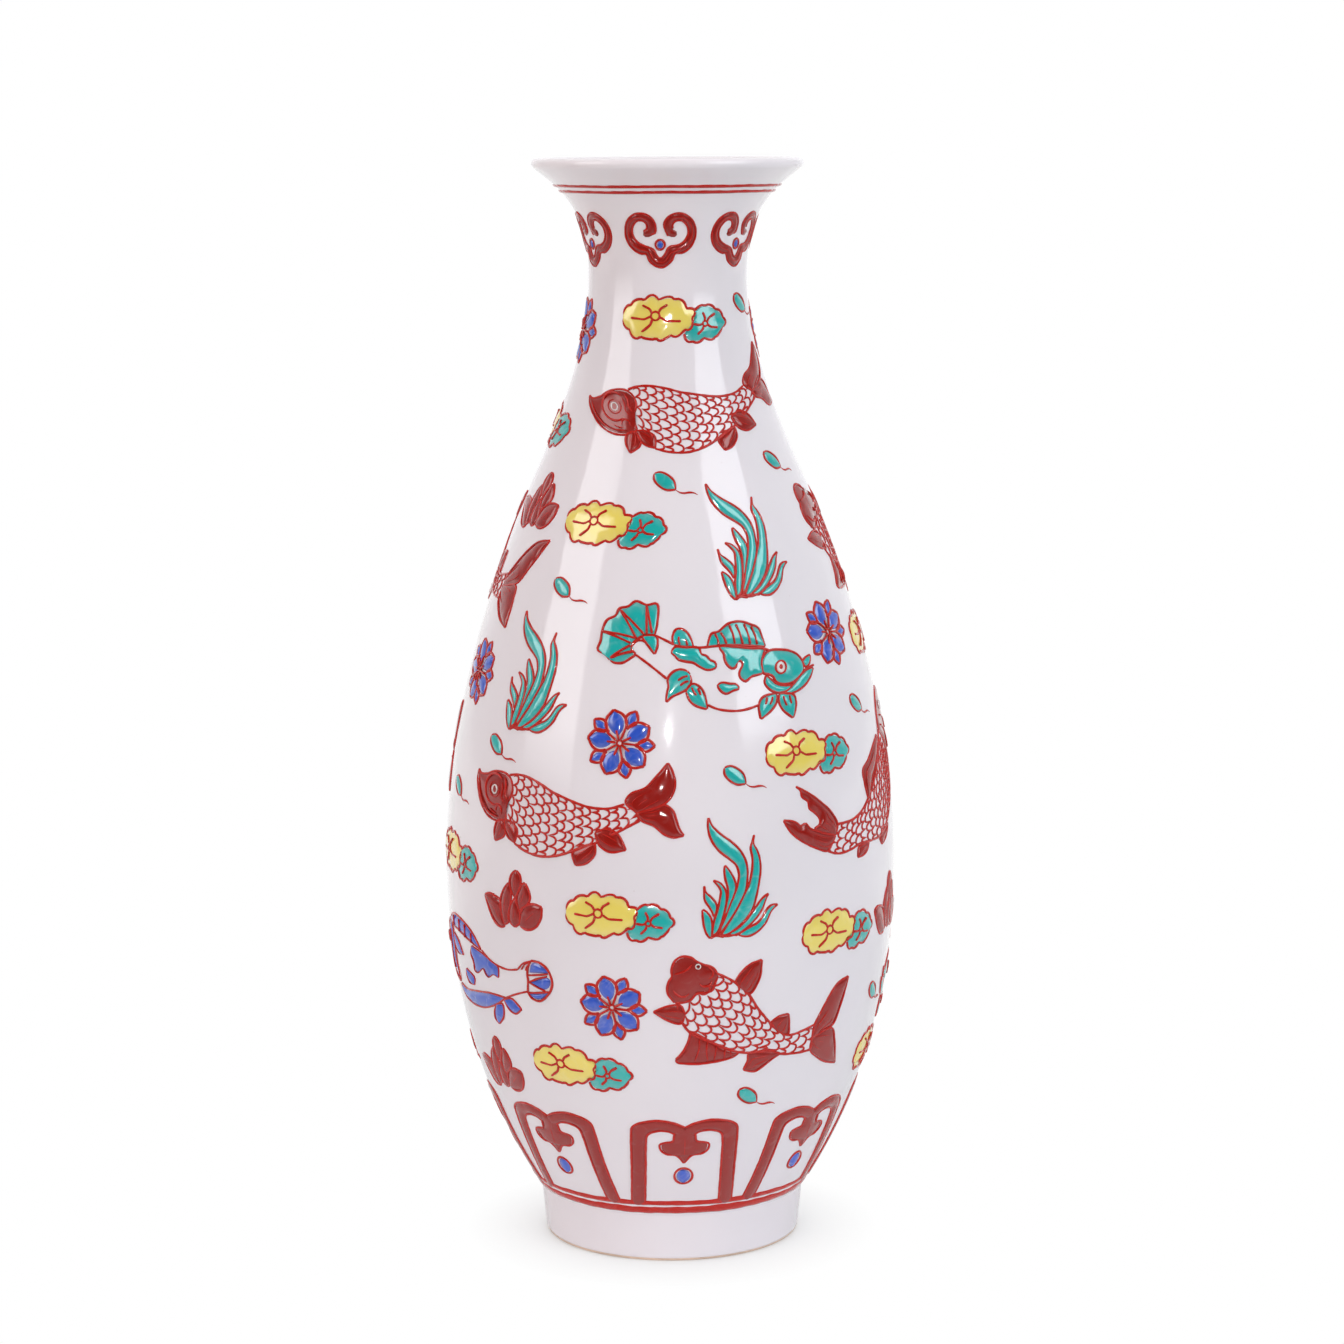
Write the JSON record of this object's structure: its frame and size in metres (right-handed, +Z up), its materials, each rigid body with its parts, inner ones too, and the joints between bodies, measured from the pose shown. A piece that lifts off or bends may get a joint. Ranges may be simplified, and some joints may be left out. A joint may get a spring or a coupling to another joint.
{
  "type": "porcelain vase",
  "caption": "Tall baluster vase with a swelling belly, slender neck and flared mouth on a foot ring, holding flowers; raised enamel fish and waterweed on white glaze.",
  "frame": {"origin": "centre of the foot ring on the surface that the vase stands on", "axes": "+Z up the axis of the vase towards its mouth; -Y is the front of the painted pattern; +X to the right of it"},
  "size_m": [0.15, 0.151, 0.36],
  "materials": {
    "glazed_porcelain": "clear gloss glaze over white porcelain",
    "foot": "glazed outside, bare biscuit where it stands",
    "luting_slip": "fired slip, matt",
    "iron_red_enamel": "raised gloss enamel",
    "red_line": "raised gloss enamel",
    "teal_enamel": "raised gloss enamel",
    "blue_enamel": "raised gloss enamel"
  },
  "bodies": {
    "root": {"base_disc": "glazed_porcelain", "base_slip": "luting_slip", "belly_slip": "luting_slip", "blue_catfish_base_left": "blue_enamel", "flared_mouth": "glazed_porcelain", "foot_line_lower": "red_line", "foot_line_upper": "red_line", "foot_ring": "foot", "foot_slip": "luting_slip", "lappet_1": "iron_red_enamel", "lappet_2": "iron_red_enamel", "lappet_3": "iron_red_enamel", "lappet_4": "iron_red_enamel", "lappet_5": "iron_red_enamel", "lappet_6": "iron_red_enamel", "lappet_7": "iron_red_enamel", "lappet_8": "iron_red_enamel", "lower_belly": "glazed_porcelain", "neck": "glazed_porcelain", "neck_slip": "luting_slip", "red_carp_base_back": "iron_red_enamel", "red_carp_base_front": "iron_red_enamel", "red_carp_belly_back": "iron_red_enamel", "red_carp_belly_front": "iron_red_enamel", "red_carp_belly_right": "iron_red_enamel", "red_carp_neck_back": "iron_red_enamel", "red_carp_neck_front": "iron_red_enamel", "red_carp_shoulder_left": "iron_red_enamel", "red_carp_shoulder_right": "iron_red_enamel", "red_carp_waist_left": "iron_red_enamel", "rim_line_lower": "red_line", "rim_line_upper": "red_line", "ruyi_head_1": "iron_red_enamel", "ruyi_head_2": "iron_red_enamel", "ruyi_head_3": "iron_red_enamel", "ruyi_head_4": "iron_red_enamel", "ruyi_head_5": "iron_red_enamel", "ruyi_head_6": "iron_red_enamel", "shoulder_slip": "luting_slip", "teal_mandarin_fish_back": "teal_enamel", "teal_mandarin_fish_base_right": "teal_enamel", "teal_mandarin_fish_front": "teal_enamel", "upper_belly": "glazed_porcelain"}
  },
  "joints": []
}
